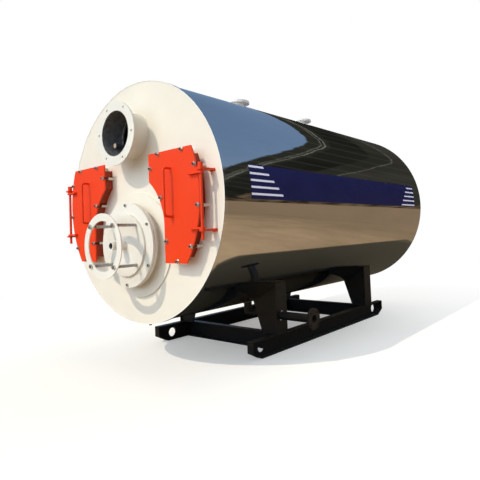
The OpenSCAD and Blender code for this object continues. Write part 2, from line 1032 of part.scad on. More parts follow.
module nose_wedge(y, dir, drop) {
  z1 = -axis_h;
  translate([skid_w - chan_w - cut, y, z1])
    rotate([90, 0, 90])
      linear_extrude(height = chan_w + 2 * cut)
        polygon([[-dir * 20, chan_h - nose_h + drop + 20 * (chan_h - nose_h) / nose_len],
          [-dir * 20, -60], [dir * nose_len, -60], [dir * nose_len, drop]]);
}

module nose_cut(y, dir) {
  nose_wedge(y, dir, 0);
}

module nose_plate(y, dir) {
  intersection() {
    nose_wedge(y, dir, fl_t);
    box(skid_w - chan_w, skid_w, run_y1, run_y2, -axis_h, run_top);
  }
}

module left_runner() {
  color([0.09, 0.09, 0.09])
    frame_at()
      mirrored(-1)
        runner();
}

module right_runner() {
  color([0.09, 0.09, 0.09])
    frame_at()
      mirrored(1)
        runner();
}

module cross_beam(y) {
  x = skid_w - chan_w;
  z1 = -axis_h;
  union() {
    box(-x, x, y + chan_w - web_t, y + chan_w, z1, run_top);
    box(-x, x, y, y + chan_w, run_top - fl_t, run_top);
    box(-x, x, y, y + chan_w, z1, z1 + fl_t);
  }
}

module front_beam() {
  color([0.09, 0.09, 0.09])
    frame_at()
      cross_beam(beam_y1);
}

module rear_beam() {
  color([0.09, 0.09, 0.09])
    frame_at()
      cross_beam(beam_y2);
}

// Banner piece
module banner() {
  up_a = asin(ban_up / jacket_r);
  low_a = asin(ban_low / jacket_r);
  color([0.1, 0.16, 0.4])
    frame_at()
      rotate([-90, 0, 0])
        rotate([0, 0, -up_a])
          rotate_extrude(angle = up_a + low_a)
            translate([jacket_r + seat, ban_front])
              square([ban_t, body_len - ban_rear - ban_front]);
}

jacket();
pressure_shell();
front_plate();
front_trim();
rear_plate();
tube_plate();
smoke_tubes();
furnace_tube();
rear_neck();
rear_cover();
flue_neck();
flue_flange();
burner_pad();
burner_neck();
burner_gasket();
burner_cover();
burner_bolts();
burner_disc();
sight_tube();
adapter_ring();
ring_rods();
left_frame();
right_frame();
left_cover();
right_cover();
left_handle();
right_handle();
left_lugs();
right_lugs();
left_bolts();
right_bolts();
clamp_pillars();
hinge_rods();
hinge_brackets();
front_nozzle();
rear_nozzle();
front_saddle();
rear_saddle();
left_runner();
right_runner();
front_beam();
rear_beam();
drain_pipe();
condensate_nipple();
banner();
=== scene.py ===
"""Looks for the horizontal fire-tube boiler: camera, studio, materials and fine detail.

Lengths are metres. Most places are given as the source gives them, from the front plate's face
(y) and the body's axis (x, z), and at_front() takes them to the frame.
"""
import math
import random

import bmesh
import bpy
from mathutils import Matrix, Vector


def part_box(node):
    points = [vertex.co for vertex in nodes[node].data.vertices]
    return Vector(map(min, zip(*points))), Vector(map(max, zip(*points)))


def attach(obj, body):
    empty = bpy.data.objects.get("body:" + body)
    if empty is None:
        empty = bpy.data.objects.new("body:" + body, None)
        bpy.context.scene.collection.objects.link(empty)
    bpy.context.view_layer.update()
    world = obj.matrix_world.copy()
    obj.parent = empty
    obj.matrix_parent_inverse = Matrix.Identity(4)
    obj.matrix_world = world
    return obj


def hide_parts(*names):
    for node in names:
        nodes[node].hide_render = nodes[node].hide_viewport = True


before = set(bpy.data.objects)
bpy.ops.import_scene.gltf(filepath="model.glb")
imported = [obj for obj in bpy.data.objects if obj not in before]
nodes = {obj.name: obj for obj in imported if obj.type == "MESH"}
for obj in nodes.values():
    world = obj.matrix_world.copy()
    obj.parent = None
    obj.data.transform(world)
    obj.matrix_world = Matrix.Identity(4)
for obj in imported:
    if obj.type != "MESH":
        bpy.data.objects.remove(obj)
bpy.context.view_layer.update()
rng = random.Random(7)

# ---------------------------------------------------------------- sizes that the source has too
AXIS_H = 1.368       # the body's axis over the ground
PLATE_Y = -1.761     # the front plate's face
R_JACKET = 0.989
R_SEAT = 0.9892      # where the saddles meet the jacket
FLUE_UP = 0.552      # the flue's centre over the axis
BURNER_DOWN = 0.349  # the burner port's centre under the axis

PORT_BOLTS_R, PORT_COVER_Y = 0.321, 0.115
RODS_R, ROD_R, DISC_Y = 0.222, 0.012, 0.133
REAR_BOLTS, REAR_BOLTS_R = 12, 0.216
REAR_FLANGE_Y, REAR_FLANGE_T = 3.850, 0.014
SEAT_R, SEAT_FLOOR = 0.0175, 0.0055  # a bolt seat's radius, and what it leaves of the rear cover
NOZZLE_Y = (1.334, 2.552)
DRAIN_Y = 1.076

# a door, from the body's axis: outer arc, top and bottom edge, upper and lower inner edge, the
# arc between those two with its centre, and the cover's face before the plate
DOOR_R, DOOR_TOP, DOOR_BOT, IN_UP, IN_LOW = 0.858, 0.345, 0.490, 0.306, 0.473
ARC_R, ARC_X, ARC_Z, COVER_Y = 0.446, 0.0285, 0.220, 0.107
HANDLE_X, HANDLE_Z = 0.560, (0.030 - 0.177, 0.030 + 0.177)
LUG_Z, BRACKET_Z, HALF_LUG = (0.141, -0.244), (0.165, -0.259), 0.007

# the skid: saddles and beams along y, the side plates' and runners' inner sides, the runners' top
SADDLE_Y, BEAM_Y = (0.995, 2.760), (1.042, 2.790)
SIDE_X, RUNNER_X, RUNNER_TOP = 0.650, 0.585, -1.208

AX, AY, AZ = (1, 0, 0), (0, 1, 0), (0, 0, 1)
FRONT = (0, -1, 0)
TURN = 2 * math.pi

# the key light's way, fitted to the photograph's shadows, and how far it throws a shadow for
# each metre of height
SUN = (0.248, 1, -0.926)
THROW_X, THROW_Y = 0.268, 1.08


def at_front(x, y, z):
    """A point given from the front plate's face and the body's axis."""
    return Vector((x, PLATE_Y + y, AXIS_H + z))


def new_object(name, data):
    ob = bpy.data.objects.new(name, data)
    bpy.context.scene.collection.objects.link(ob)
    return ob


def new_mesh(name, bm):
    me = bpy.data.meshes.new(name)
    bm.to_mesh(me)
    bm.free()
    return me


# ---------------------------------------------------------------- camera
def make_camera():
    """The photograph's camera, fitted to the body's outline, the doors and the burner port."""
    yaw, pitch, roll = -0.7147, 0.0436, -0.0403
    frame_px, focal_px, shift_px = 480, 452.08, -26.5
    level = math.cos(pitch)
    fwd = Vector((math.sin(yaw) * level, math.cos(yaw) * level, math.sin(pitch)))
    right = Vector((math.cos(yaw), -math.sin(yaw), 0))
    up = right.cross(fwd)
    cam = bpy.data.cameras.new("camera")
    cam.sensor_width = 36
    cam.lens = focal_px / frame_px * cam.sensor_width
    cam.shift_y = shift_px / frame_px
    cam.clip_end = 200
    ob = new_object("camera", cam)
    m = Matrix((right * math.cos(roll) + up * math.sin(roll),
                up * math.cos(roll) - right * math.sin(roll), -fwd)).transposed().to_4x4()
    m.translation = at_front(3.1044, -2.2761, -0.2902)
    ob.matrix_world = m
    bpy.context.scene.camera = ob


# ---------------------------------------------------------------- shader helpers
class Mat:
    """A small builder for one procedural material, or for the world."""

    def __init__(self, name, world=False):
        self.m = (bpy.data.worlds if world else bpy.data.materials).new(name)
        self.m.use_nodes = True
        self.nt = self.m.node_tree
        self.nt.nodes.clear()
        self.out = self.node("ShaderNodeOutputWorld" if world else "ShaderNodeOutputMaterial")
        if not world:
            self.bsdf = self.node("ShaderNodeBsdfPrincipled")
            self.link(self.bsdf.outputs[0], self.out.inputs[0])
        place_of = self.node("ShaderNodeTexCoord").outputs
        self.co = place_of["Generated" if world else "Object"]

    def node(self, kind, **kw):
        n = self.nt.nodes.new(kind)
        for k, v in kw.items():
            setattr(n, k, v)
        return n

    def link(self, a, b):
        self.nt.links.new(a, b)

    def put(self, socket, v):
        """Links a socket's output, or sets a number or an RGB colour."""
        if hasattr(v, "links"):
            self.link(v, socket)
        else:
            socket.default_value = (*v, 1) if isinstance(v, tuple) else v

    def set(self, **kw):
        for k, v in kw.items():
            self.bsdf.inputs[k.replace("_", " ")].default_value = v

    def surface(self, color, rough):
        self.link(color, self.bsdf.inputs["Base Color"])
        self.link(rough, self.bsdf.inputs["Roughness"])

    def noise(self, scale, detail, rough=0.6, stretch=None):
        n = self.node("ShaderNodeTexNoise")
        n.inputs["Scale"].default_value = scale
        n.inputs["Detail"].default_value = detail
        n.inputs["Roughness"].default_value = rough
        co = self.co
        if stretch:
            mp = self.node("ShaderNodeMapping")
            mp.inputs["Scale"].default_value = stretch
            self.link(co, mp.inputs[0])
            co = mp.outputs[0]
        self.link(co, n.inputs["Vector"])
        return n.outputs["Fac"]

    def range(self, v, a, b, c, d):
        """Takes a..b to c..d, clamped."""
        n = self.node("ShaderNodeMapRange")
        self.link(v, n.inputs[0])
        for i, x in enumerate((a, b, c, d)):
            n.inputs[i + 1].default_value = x
        return n.outputs[0]

    def vary(self, lo, hi, scale, detail=4):
        """Noise that goes from lo to hi; it seldom leaves 0.3 to 0.7 by itself."""
        return self.range(self.noise(scale, detail), 0.3, 0.7, lo, hi)

    def ramp(self, fac, stops):
        n = self.node("ShaderNodeValToRGB")
        e = n.color_ramp.elements
        while len(e) < len(stops):
            e.new(0.5)
        for el, (p, c) in zip(e, stops):
            el.position = p
            el.color = (*c, 1)
        self.link(fac, n.inputs[0])
        return n.outputs[0]

    def mix(self, fac, a, b, blend="MIX"):
        n = self.node("ShaderNodeMix", data_type="RGBA", blend_type=blend)
        for s, v in ((0, fac), (6, a), (7, b)):
            self.put(n.inputs[s], v)
        return n.outputs[2]

    def math(self, op, a, b=0.0):
        n = self.node("ShaderNodeMath", operation=op)
        self.put(n.inputs[0], a)
        self.put(n.inputs[1], b)
        return n.outputs[0]

    def hypot(self, a, b):
        square = [self.math("MULTIPLY", v, v) for v in (a, b)]
        return self.math("SQRT", self.math("ADD", *square))

    def xyz(self, v):
        n = self.node("ShaderNodeSeparateXYZ")
        self.link(v, n.inputs[0])
        return n.outputs

    def normal(self):
        return self.xyz(self.node("ShaderNodeNewGeometry").outputs["Normal"])

    def shade(self, kind, color):
        """A background or emission of strength 1."""
        n = self.node(kind)
        self.put(n.inputs[0], color)
        n.inputs[1].default_value = 1.0
        return n.outputs[0]

    def blend(self, fac, a, b):
        n = self.node("ShaderNodeMixShader")
        for s, v in zip(n.inputs, (fac, a, b)):
            self.link(v, s)
        return n.outputs[0]

    def bump(self, height, strength, dist):
        """A bump over the ones that are there already."""
        n = self.node("ShaderNodeBump")
        n.inputs["Strength"].default_value = strength
        n.inputs["Distance"].default_value = dist
        self.link(height, n.inputs["Height"])
        if self.bsdf.inputs["Normal"].links:
            self.link(self.bsdf.inputs["Normal"].links[0].from_socket, n.inputs["Normal"])
        self.link(n.outputs[0], self.bsdf.inputs["Normal"])


# ---------------------------------------------------------------- materials
DUST = (0.42, 0.36, 0.28)
SOOT = ((0.080, 0.086, 0.100), (0.18, 0.186, 0.20))
CREAM, CREAM_WORN = (0.85, 0.795, 0.69), (0.55, 0.47, 0.37)
WHITE, WHITE_WORN = (0.85, 0.82, 0.745), (0.5, 0.46, 0.4)
FLUE_PLATE_R, FLUE_BORE_R, SIGHT_BORE_R = 0.189, 0.1835, 0.0245


def paint(name, color, worn, rough, dust=0.25, dirt=1.0, bore=None, coat=0.15, spec=0.5):
    """Sprayed paint: slight colour drift, orange peel, dust where it can lie and a few scuffs.
    Inside bore = (height of its axis, radius) the piece is bare, sooty steel."""
    k = Mat(name)
    base = k.mix(k.vary(0, 1, 2.3, 3), *(tuple(c * f for c in color) for f in (0.955, 1.02)))
    streaks = k.noise(9, 6, 0.7, (3.0, 3.0, 0.5))
    base = k.mix(k.range(streaks, 0.58, 0.85, 0, 0.2 * dirt), base, worn)
    base = k.mix(k.range(k.noise(70, 3, 0.5), 0.72, 0.78, 0, 0.5 * dirt), base, worn)
    up = k.range(k.normal()[2], 0.35, 0.95, 0, dust)
    patches = k.range(k.noise(14, 5), 0.3, 0.65, 0.3, 1)
    base = k.mix(k.math("MULTIPLY", up, patches), base, DUST)
    gloss = k.vary(rough - 0.07, rough + 0.1, 35, 5)
    if bore:
        x, _, z = k.xyz(k.co)
        inside = k.math("LESS_THAN", k.hypot(x, k.math("SUBTRACT", z, bore[0])), bore[1])
        soot = k.mix(k.range(k.noise(25, 6, 0.7), 0.35, 0.65, 0, 1), *SOOT)
        base = k.mix(inside, base, soot)
        gloss = k.math("ADD", gloss, k.math("MULTIPLY", inside, 0.2))
    k.surface(base, gloss)
    k.bump(k.noise(420, 2), 0.04, 0.002)
    k.bump(k.noise(6, 3), 0.05, 0.01)
    k.set(Coat_Weight=coat, Coat_Roughness=0.22, Specular_IOR_Level=spec)
    return k.m


def metal(name, light, dark, rough, metallic, scale=60, bump=0.08):
    """Bare or plated steel, or a dull stuff, with stains and small pits."""
    k = Mat(name)
    k.surface(k.mix(k.vary(0, 1, scale, 5), light, dark),
              k.vary(rough - 0.1, rough + 0.12, scale * 2))
    k.bump(k.noise(scale * 8, 3), bump, 0.001)
    k.set(Metallic=metallic)
    return k.m


def raw_steel():
    """Uncoated steel inside, with rust bloom."""
    k = Mat("raw_steel")
    rust = k.range(k.noise(18, 7, 0.7), 0.42, 0.62, 0, 1)
    k.surface(k.mix(rust, (0.23, 0.225, 0.225), (0.24, 0.165, 0.115)), k.vary(0.55, 0.85, 40, 5))
    k.set(Metallic=0.15)
    k.bump(k.noise(160, 5), 0.3, 0.002)
    return k.m


def bright_steel():
    """The jacket's mirror sheet: smears along the body, a slow buckle and a fine rolling grain."""
    k = Mat("bright_steel")
    smear = k.range(k.noise(3.0, 5, 0.62, (1.0, 0.25, 1.0)), 0.35, 0.7, 0, 1)
    k.surface(k.mix(smear, (0.80, 0.80, 0.80), (0.72, 0.715, 0.71)),
              k.range(k.noise(22, 6, 0.7, (1.0, 0.12, 1.0)), 0.3, 0.75, 0.0, 0.03))
    k.set(Metallic=1.0)
    k.bump(k.noise(1.1, 2, 0.4, (1.0, 0.6, 1.0)), 0.10, 0.02)
    k.bump(k.noise(900, 2, 0.5, (1.0, 0.03, 1.0)), 0.01, 0.001)
    return k.m


def rim_steel():
    """The front trim: pale and matt on its face, bright mirror round its side."""
    k = Mat("rim_steel")
    face = k.range(k.normal()[1], -0.6, -0.8, 0, 1)
    pale_face = k.mix(k.noise(20, 4), (0.86, 0.85, 0.81), (0.90, 0.89, 0.85))
    k.surface(k.mix(face, (0.78, 0.78, 0.78), pale_face),
              k.math("ADD", k.math("MULTIPLY", face, 0.35), k.vary(0.01, 0.05, 30)))
    k.link(k.math("SUBTRACT", 1.0, face), k.bsdf.inputs["Metallic"])
    k.bump(k.noise(500, 2), 0.02, 0.001)
    return k.m


def banner_film():
    """Blue film, a little slack."""
    k = Mat("banner_film")
    k.surface(k.mix(k.vary(0, 1, 4), (0.005, 0.007, 0.100), (0.007, 0.010, 0.125)),
              k.vary(0.42, 0.56, 8))
    k.bump(k.noise(7, 3, 0.5, (1.0, 1.0, 0.4)), 0.12, 0.006)
    k.bump(k.noise(600, 2), 0.05, 0.0006)
    k.set(Specular_IOR_Level=0.25)
    return k.m


def banner_stripe():
    """White print on the film, with a painted glow: it gives off a little light of its own, which
    keeps it white on the side away from the sun.
    """
    k = Mat("banner_stripe")
    k.surface(k.mix(k.noise(9, 3), (0.84, 0.86, 0.97), (0.76, 0.78, 0.93)),
              k.vary(0.42, 0.55, 9, 3))
    k.bump(k.noise(600, 2), 0.05, 0.0006)
    # painted light: the print glows a little
    k.set(Emission_Color=(0.62, 0.68, 1.0, 1), Emission_Strength=0.22)
    return k.m


def make_materials():
    flue_z, burner_z = AXIS_H + FLUE_UP, AXIS_H - BURNER_DOWN
    return {
        "cream": paint("cream_paint", CREAM, CREAM_WORN, 0.36, dirt=0.35),
        "plate": paint("plate_paint", CREAM, CREAM_WORN, 0.36, dirt=0.25,
                       bore=(flue_z, FLUE_PLATE_R)),
        "white": paint("white_paint", WHITE, WHITE_WORN, 0.4, dirt=0.35),
        "flange": paint("flange_paint", (0.815, 0.795, 0.73), WHITE_WORN, 0.4, dirt=0.35),
        "flue": paint("flue_paint", WHITE, WHITE_WORN, 0.4, dirt=0.35, bore=(flue_z, FLUE_BORE_R)),
        "sight": paint("sight_paint", WHITE, WHITE_WORN, 0.4, dirt=0.35,
                       bore=(burner_z, SIGHT_BORE_R)),
        "nozzle": paint("nozzle_paint", (0.89, 0.88, 0.855), (0.4, 0.38, 0.35), 0.42, 0.12,
                        dirt=0.3),
        "orange": paint("orange_paint", (0.84, 0.051, 0.006), (0.30, 0.02, 0.008), 0.34, 0.06,
                        dirt=0.6, coat=0.0, spec=0.28),
        "frame": paint("frame_paint", (0.36, 0.050, 0.018), (0.16, 0.04, 0.02), 0.45, 0.06,
                       dirt=0.8, coat=0.0, spec=0.3),
        "black": paint("black_paint", (0.0078, 0.0080, 0.0083), (0.018, 0.017, 0.016), 0.42, 0.07,
                       coat=0.0, spec=0.4),
        "zinc": metal("zinc_steel", (0.80, 0.78, 0.75), (0.50, 0.47, 0.44), 0.27, 0.95),
        "rod": metal("rod_steel", (0.42, 0.405, 0.40), (0.27, 0.255, 0.25), 0.30, 0.8),
        "bolt": metal("dark_bolt", (0.07, 0.066, 0.062), (0.16, 0.12, 0.09), 0.48, 0.6, 50, 0.15),
        "tan": metal("bar_end", (0.62, 0.47, 0.33), (0.46, 0.33, 0.22), 0.6, 0.0, 50, 0.2),
        "bar": metal("bar_steel", (0.05, 0.06, 0.085), (0.035, 0.038, 0.05), 0.5, 0.3, 30, 0.15),
        "seal": metal("mastic", (0.16, 0.16, 0.155), (0.11, 0.11, 0.105), 0.7, 0.0, 40, 0.3),
        "gasket": metal("gasket_sheet", (0.50, 0.25, 0.21), (0.38, 0.2, 0.17), 0.8, 0.0, 80, 0.2),
        "raw": raw_steel(),
        "bright": bright_steel(),
        "rim": rim_steel(),
        "banner": banner_film(),
        "stripe": banner_stripe(),
    }


# ---------------------------------------------------------------- studio
SKY = [(0.0, (0.36, 0.38, 0.40)), (0.2, (0.22, 0.30, 0.42)), (0.5, (0.16, 0.25, 0.40)),
       (1.0, (0.12, 0.20, 0.34))]
DARK, DIM, FAR = (0.012, 0.012, 0.010), (0.030, 0.030, 0.024), (0.042, 0.041, 0.033)
ROOF = [(0.0, FAR), (0.36, FAR), (0.40, DIM), (0.50, DIM), (0.52, DARK), (0.78, DARK),
        (0.80, DIM), (1.0, DIM)]
BLACK = (0.0, 0.0, 0.0)
TRUSSES = [(0.0, BLACK), (0.366, BLACK), (0.370, (0.20, 0.20, 0.165)), (0.375, BLACK),
           (0.832, BLACK), (0.838, (0.46, 0.46, 0.39)), (0.844, BLACK),
           (0.868, BLACK), (0.873, (0.26, 0.26, 0.22)), (0.880, BLACK)]
YARD = (0.27, 0.19, 0.12)


def mirrored_room(k):
    """What the bright jacket mirrors, over the direction: a blue window over the front, a dark
    roof with its trusses behind it, and a warm yard with scrap at its end."""
    x, y, z = k.xyz(k.co)

    # the eaves between window and roof: an arch, steeper on its +X side
    dx = k.math("SUBTRACT", x, 0.03)
    bend = k.math("MULTIPLY", k.math("MULTIPLY", dx, dx), k.range(dx, -0.05, 0.05, 0.14, 0.25))
    bend = k.math("ADD", bend, k.math("MULTIPLY", k.math("ABSOLUTE", dx), 0.05))
    edge = k.math("SUBTRACT", k.math("SUBTRACT", 0.831, bend), y)
    window = k.range(k.math("ADD", edge, k.vary(-0.002, 0.002, 26, 5)), -0.002, 0.0, 0, 1)

    # the roof, by its depth behind the eaves: sheets in patches, purlins, and trusses on top
    edge = k.math("ADD", edge, k.vary(-0.0012, 0.0012, 11, 2))
    depth = k.range(edge, -0.14, 0.0, 0, 1)
    patches = k.range(k.noise(5, 3), 0.4, 0.6, 0, 0.5)
    roof = k.mix(patches, k.ramp(depth, ROOF), (0.022, 0.022, 0.017))
    along = k.math("DIVIDE", x, k.math("ADD", z, 0.35))
    ribs = k.range(k.math("SINE", k.math("MULTIPLY", along, 46.0)), 0.80, 0.97, 0, 0.3)
    roof = k.mix(ribs, roof, (0.07, 0.068, 0.055))
    uneven = k.range(k.noise(34, 3, 0.6), 0.40, 0.5, 0.45, 1)
    roof = k.mix(uneven, roof, k.ramp(depth, TRUSSES), "ADD")
    room = k.mix(window, roof, k.ramp(z, SKY))

    # the yard
    clutter = k.range(k.noise(22, 6, 0.75, (1.0, 1.0, 2.5)), 0.42, 0.6, 0, 1)
    scrap = k.mix(clutter, (0.014, 0.012, 0.009), (0.17, 0.12, 0.07))
    heaps = k.range(k.noise(9, 4, 0.6, (1.0, 1.0, 0.0)), 0.35, 0.65, 0.0, 0.075)
    heaps = k.range(k.math("SUBTRACT", heaps, z), 0.0, 0.004, 0, 1)
    room = k.mix(heaps, room, scrap)
    return k.mix(k.range(z, -0.012, -0.006, 1, 0), room, YARD)


def make_world():
    """White for the camera and through glass, the made-up room for gloss, and for everything
    else soft light from the front and the rear, bluish in front."""
    k = Mat("studio", world=True)
    y = k.xyz(k.co)[1]
    sides = k.mix(k.range(y, 0.3, 0.75, 0, 1), (0.20, 0.195, 0.18), (1.3, 1.3, 1.26))
    front = k.mix(k.range(y, -0.85, -0.55, 1, 0), sides, (1.99, 2.41, 2.79))
    soft, gloss, white = (k.shade("ShaderNodeBackground", c)
                          for c in (front, mirrored_room(k), (1, 1, 1)))
    path = k.node("ShaderNodeLightPath").outputs
    seen = k.math("MAXIMUM", path["Is Camera Ray"], path["Is Transmission Ray"])
    k.link(k.blend(seen, k.blend(path["Is Glossy Ray"], soft, gloss), white), k.out.inputs[0])
    bpy.context.scene.world = k.m


def make_floor():
    """A pale floor that keeps the boiler's shadow. Only the camera sees it pale: to the jacket, and
    in the light that it sends back, it is the warm yard, darker to the rear, with a painted shadow
    where the boiler's shadow lies."""
    bm = bmesh.new()
    bmesh.ops.create_grid(bm, x_segments=8, y_segments=8, size=60)
    floor = new_object("floor", new_mesh("floor", bm))
    k = Mat("floor")
    eye = k.node("ShaderNodeLightPath").outputs["Is Camera Ray"]
    x, y, _ = k.xyz(k.co)

    # painted shadow: the plate's circle, thrown along the key light and drawn on to the rear
    plate_r, rear_y = 1.0, 4.5
    back = k.math("DIVIDE", k.math("SUBTRACT", y, PLATE_Y + THROW_Y * AXIS_H), THROW_Y)
    back = k.math("MINIMUM", back, 0.0)
    across = k.math("SUBTRACT", k.math("SUBTRACT", x, THROW_X * AXIS_H + 0.04),
                    k.math("MULTIPLY", back, THROW_X))
    shadow = k.math("MULTIPLY", k.range(k.hypot(across, back), plate_r, plate_r + 0.04, 1, 0),
                    k.range(y, rear_y, rear_y + 0.2, 1, 0))

    grain = k.range(k.noise(0.9, 6, 0.65), 0.3, 0.7, 0, 1)
    warm = k.mix(grain, (0.32, 0.23, 0.145), (0.46, 0.33, 0.21))
    warm = k.mix(k.range(y, 0.5, 5.0, 0, 0.45), warm, BLACK)
    # painted shadow: the warm yard made dark inside that outline
    warm = k.mix(shadow, warm, (0.085, 0.073, 0.052))
    k.link(k.mix(eye, warm, (0.80, 0.80, 0.79)), k.bsdf.inputs["Base Color"])
    k.set(Roughness=0.9, Specular_IOR_Level=0.0, Emission_Color=(1, 1, 1, 1))
    k.link(k.math("MULTIPLY", eye, 0.28), k.bsdf.inputs["Emission Strength"])

    # far from the boiler the floor fades into the background
    off = k.node("ShaderNodeVectorMath", operation="DISTANCE")
    off.inputs[1].default_value = (1.2, -2.2, 0)
    k.link(k.co, off.inputs[0])
    far = off.outputs["Value"]
    fade = k.math("MULTIPLY", k.range(far, 2.8, 7.5, 0, 1),
                  k.math("MAXIMUM", eye, k.range(far, 7.0, 10.0, 0, 1)))
    beyond = k.shade("ShaderNodeEmission", k.mix(eye, YARD, (1, 1, 1)))
    k.link(k.blend(fade, k.bsdf.outputs[0], beyond), k.out.inputs[0])
    floor.data.materials.append(k.m)


def make_lamps():
    """One sun-like key from the front left, and two soft lamps that no gloss shows."""
    def lamp(name, kind, at, to, power, color, **kw):
        d = bpy.data.lights.new(name, kind)
        d.energy = power
        d.color = color
        for key, v in kw.items():
            setattr(d, key, v)
        o = new_object(name, d)
        o.location = at
        o.rotation_euler = (Vector(to) - Vector(at)).to_track_quat("-Z", "Y").to_euler()
        o.visible_glossy = kind == "SUN"

    lamp("key", "SUN", [-8 * v for v in SUN], (0, 0, 0), 1.85, (1, 0.88, 0.70), angle=0.0093)
    lamp("top", "AREA", (0.5, 0.5, 7.5), (0, 0, 1), 70, (1, 1, 1), shape="DISK", size=5.0)
    lamp("back", "AREA", (1.5, 9.5, 4.5), (0, 2, 1), 170, (1, 1, 1), shape="DISK", size=4.0)


# ---------------------------------------------------------------- mesh helpers
def dress(m):
    """Gives every CAD node that shows its material."""
    pick = {
        "cream": ["rear_plate", "rear_neck", "rear_cover", "burner_pad", "clamp_pillars"],
        "plate": ["front_plate"],
        "rim": ["front_trim"],
        "white": ["burner_neck", "burner_cover", "burner_disc", "adapter_ring"],
        "flange": ["flue_flange"],
        "flue": ["flue_neck"],
        "sight": ["sight_tube"],
        "orange": ["left_cover", "right_cover", "left_handle", "right_handle", "left_lugs",
                   "right_lugs", "hinge_rods", "hinge_brackets"],
        "frame": ["left_frame", "right_frame"],
        "black": ["front_saddle", "rear_saddle", "left_runner", "right_runner", "front_beam",
                  "rear_beam", "drain_pipe", "condensate_nipple"],
        "nozzle": ["front_nozzle", "rear_nozzle"],
        "bright": ["jacket"],
        "raw": ["pressure_shell", "tube_plate", "smoke_tubes", "furnace_tube"],
        "gasket": ["burner_gasket"],
        "banner": ["banner"],
    }
    for key, names in pick.items():
        for n in names:
            slots = nodes[n].data.materials
            slots.clear()
            slots.append(m[key])


def add_mesh(name, bm, mats, body, hide=()):
    """A new piece: smooth faces, sharp edges kept, riding on a body."""
    sharp = 0.6
    bmesh.ops.remove_doubles(bm, verts=bm.verts, dist=2e-6)
    bmesh.ops.recalc_face_normals(bm, faces=bm.faces)
    for e in bm.edges:
        e.smooth = len(e.link_faces) == 2 and e.calc_face_angle(0) < sharp
    for f in bm.faces:
        f.smooth = True
    ob = new_object(name, new_mesh(name, bm))
    for mat in mats:
        ob.data.materials.append(mat)
    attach(ob, body)
    for node in hide:
        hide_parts(node)


def place(at, axis, spin=0.0):
    """Takes local +Z to the axis and the local origin to the point."""
    turn = Vector(axis).normalized().to_track_quat("Z", "Y").to_matrix().to_4x4()
    return Matrix.Translation(at) @ turn @ Matrix.Rotation(spin, 4, "Z")


def any_spin():
    """A turn for a hexagon."""
    return rng.uniform(0, 1.05)


def polar(r, a, x=0.0, z=0.0):
    return x + r * math.cos(a), z + r * math.sin(a)


def spread(r, first, n):
    """n places round a circle, as (x, z), from an angle in degrees on."""
    return [polar(r, math.radians(first + 360 // n * i)) for i in range(n)]


def circle(c, r, axis, n):
    u = Vector(axis).orthogonal().normalized()
    v = Vector(axis).normalized().cross(u)
    return [c + (u * math.cos(TURN * i / n) + v * math.sin(TURN * i / n)) * r for i in range(n)]


def skin(bm, rings, mat=0, loop=False):
    """Faces between neighbouring closed rings; a ring of one point is a tip."""
    for a, b in zip(rings, rings[1:] + (rings[:1] if loop else [])):
        n = max(len(a), len(b))
        for i in range(n):
            k = (i + 1) % n
            if len(a) == 1:
                f = (a[0], b[i], b[k])
            elif len(b) == 1:
                f = (a[i], a[k], b[0])
            else:
                f = (a[i], a[k], b[k], b[i])
            bm.faces.new(f).material_index = mat


def lathe(bm, m, prof, n=32, loop=False):
    """Turns a profile of (radius, z); a radius of 0 is a tip."""
    rings = []
    for r, z in prof:
        around = [polar(r, TURN * i / n) for i in range(n)] if r else [(0, 0)]
        rings.append([bm.verts.new(m @ Vector((x, y, z))) for x, y in around])
    skin(bm, rings, loop=loop)


# ---------------------------------------------------------------- fasteners
def nut(bm, m, flats, h, hole, z0, mat=0):
    """A chamfered hexagon nut; a hole of 0 makes a bolt's head."""
    n, rc = 48, flats / 2 * 0.97
    loops = [[] for _ in range(6)]
    for i in range(n):
        a = TURN * i / n
        r = flats / 2 / math.cos((a % (math.pi / 3)) - math.pi / 6)
        c = (r - rc) * 0.55
        for k, (rr, z) in enumerate(((hole, 0), (rc, 0), (r, c), (r, h - c), (rc, h), (hole, h))):
            if rr > 0:
                loops[k].append(bm.verts.new(m @ Vector((*polar(rr, a), z0 + z))))
    if hole <= 0:
        loops[0] = [bm.verts.new(m @ Vector((0, 0, z0)))]
        loops[5] = [bm.verts.new(m @ Vector((0, 0, z0 + h)))]
    skin(bm, loops, mat, loop=hole > 0)


def washer(bm, m, r, hole, t):
    b = t * 0.25
    lathe(bm, m, [(hole, 0), (hole, t), (r - b, t), (r, t - b), (r, b), (r - b, 0)], 36, True)


def thread(bm, m, r, z1, z2, pitch, n, mat=0):
    """A bar with a real helical thread and turned-down ends."""
    rows = 4  # rows of points to a turn
    root = r - pitch * 0.5
    form = [root, r - pitch * 0.125, r, r - pitch * 0.125]
    body = []
    for k in range(-rows, int((z2 - z1) / pitch * rows) + rows + 1):
        ring = []
        for i in range(n):
            z = min(max(z1 + (k / rows + i / n) * pitch, z1), z2)
            rr = min(form[k % rows], root + min(z - z1, z2 - z) * 0.9)
            ring.append((*polar(rr, TURN * i / n), z))
        body.append([bm.verts.new(m @ Vector(v)) for v in ring])
    # the helix closes onto the row one turn further on
    for k in range(len(body) - 1):
        for i in range(n):
            if i < n - 1:
                f = (body[k][i], body[k][i + 1], body[k + 1][i + 1], body[k + 1][i])
            elif k + rows + 1 < len(body):
                f = (body[k][i], body[k + rows][0], body[k + rows + 1][0], body[k + 1][i])
            else:
                continue
            bm.faces.new(f).material_index = mat
    for end in (body[0], body[-1]):
        bm.faces.new(end).material_index = mat


def fastener(bm, k, under, hexagon, stud, mat=0, n=18):
    """A washer (radius, hole, thickness), a nut on it (flats, height, hole) and a threaded end
    (radius, from, to, pitch)."""
    washer(bm, k, *under)
    nut(bm, k, *hexagon, under[2])
    thread(bm, k, *stud, n, mat)


